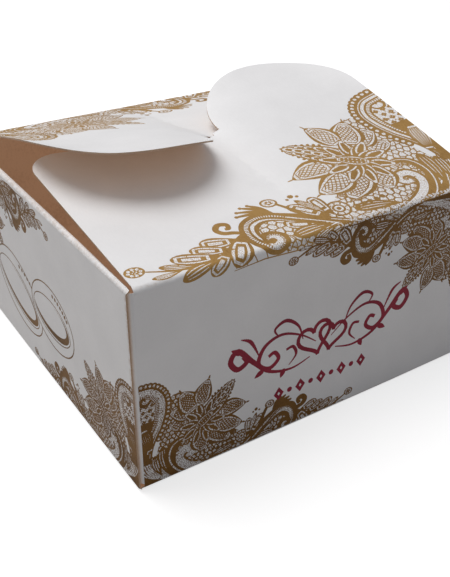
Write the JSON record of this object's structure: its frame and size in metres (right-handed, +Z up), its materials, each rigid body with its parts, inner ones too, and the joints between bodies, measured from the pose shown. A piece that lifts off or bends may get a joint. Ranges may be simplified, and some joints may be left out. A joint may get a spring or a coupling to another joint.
{
  "type": "folding favour box",
  "caption": "Square folded card favour box, white outside and kraft brown inside, closed by two interlocking heart-shaped lid flaps",
  "frame": {"origin": "centre of the box's underside, on the table", "axes": "+Z up, front wall facing -Y, +X to the right seen from the front"},
  "size_m": [0.13, 0.13, 0.0859],
  "materials": {
    "white_card": "white clay-coated face, satin",
    "kraft_side": "uncoated kraft brown reverse, matt"
  },
  "bodies": {
    "box": {"base_panel": "white_card", "front_base_crease": "white_card", "back_base_crease": "white_card", "left_base_crease": "white_card", "right_base_crease": "white_card", "front_wall": "white_card", "back_wall": "white_card", "left_wall": "white_card", "right_wall": "white_card", "front_left_corner_crease": "white_card", "front_right_corner_crease": "white_card", "back_left_corner_crease": "white_card", "back_right_corner_crease": "white_card", "front_left_tab": "kraft_side", "front_right_tab": "kraft_side", "back_left_tab": "kraft_side", "back_right_tab": "kraft_side", "left_ridge_crease": "white_card", "right_ridge_crease": "white_card", "left_ridge": "white_card", "right_ridge": "white_card", "left_liner_crease": "white_card", "right_liner_crease": "white_card", "front_lid_crease": "white_card", "back_lid_crease": "white_card"},
    "front_flap": {"front_lid_flap": "white_card"},
    "back_flap": {"back_lid_flap": "white_card"},
    "left_liner": {"left_liner": "white_card"},
    "right_liner": {"right_liner": "white_card"}
  },
  "joints": [
    {"name": "front_lid_fold", "type": "hinge", "parent": "box", "child": "front_flap", "pos_m": [0, -0.06455, 0.06605], "axis": [1, 0, 0], "range_deg": [0, 175]},
    {"name": "back_lid_fold", "type": "hinge", "parent": "box", "child": "back_flap", "pos_m": [0, 0.06455, 0.06605], "axis": [-1, 0, 0], "range_deg": [0, 175]},
    {"name": "left_liner_fold", "type": "hinge", "parent": "box", "child": "left_liner", "pos_m": [-0.06325, 0, 0.06605], "axis": [0, -1, 0], "range_deg": [0, 60]},
    {"name": "right_liner_fold", "type": "hinge", "parent": "box", "child": "right_liner", "pos_m": [0.06325, 0, 0.06605], "axis": [0, 1, 0], "range_deg": [0, 60]}
  ],
  "couplings": [
    {"joint": "back_lid_fold", "follows": "front_lid_fold", "ratio": 1}
  ]
}
